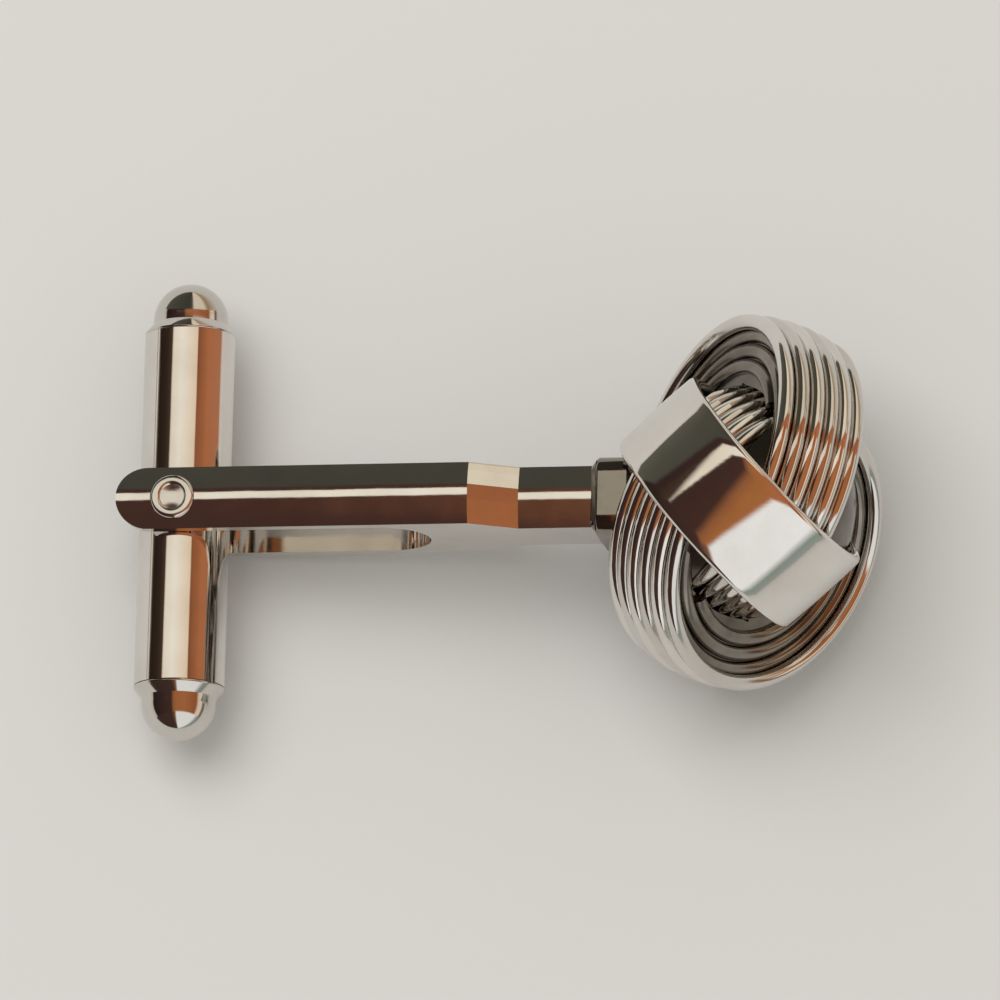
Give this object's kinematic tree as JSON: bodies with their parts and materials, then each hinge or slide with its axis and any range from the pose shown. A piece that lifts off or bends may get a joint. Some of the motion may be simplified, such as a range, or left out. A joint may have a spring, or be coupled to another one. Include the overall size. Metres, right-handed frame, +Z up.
{
  "type": "cufflink",
  "caption": "Polished silver-tone love-knot cufflink: a wide plain band over crossed ribbed bands, on a forked post with a bullet-shaped swivel toggle.",
  "frame": {"origin": "middle of the footprint on the surface that the cufflink lies on, on the knot and on the free end of its fork", "axes": "+X from the toggle to the knot along the post, +Y along the toggle, +Z up from the surface"},
  "size_m": [0.0294, 0.018, 0.0132],
  "materials": {
    "silver_pale": "polished",
    "silver_mid": "polished",
    "silver_deep": "polished",
    "spring_grey": "satin"
  },
  "bodies": {
    "link": {"knot_core": "silver_deep", "plain_band": "silver_pale", "near_wire_1": "silver_pale", "near_wire_2": "silver_mid", "near_wire_3": "silver_pale", "near_wire_4": "silver_mid", "near_wire_5": "silver_pale", "near_wire_6": "silver_mid", "far_wire_1": "silver_pale", "far_wire_2": "silver_mid", "far_wire_3": "silver_pale", "far_wire_4": "silver_mid", "far_wire_5": "silver_pale", "far_wire_6": "silver_mid", "back_cup": "silver_mid", "post_fork": "silver_pale", "pivot_pin": "silver_mid"},
    "toggle": {"toggle_tube": "silver_pale", "nose_left": "silver_mid", "nose_right": "silver_mid", "click_spring": "spring_grey"}
  },
  "joints": [
    {"name": "toggle_swivel", "type": "hinge", "parent": "link", "child": "toggle", "pos_m": [-0.01206, 0, 0.00285], "axis": [-0.172, 0, 0.9851], "continuous": true}
  ]
}
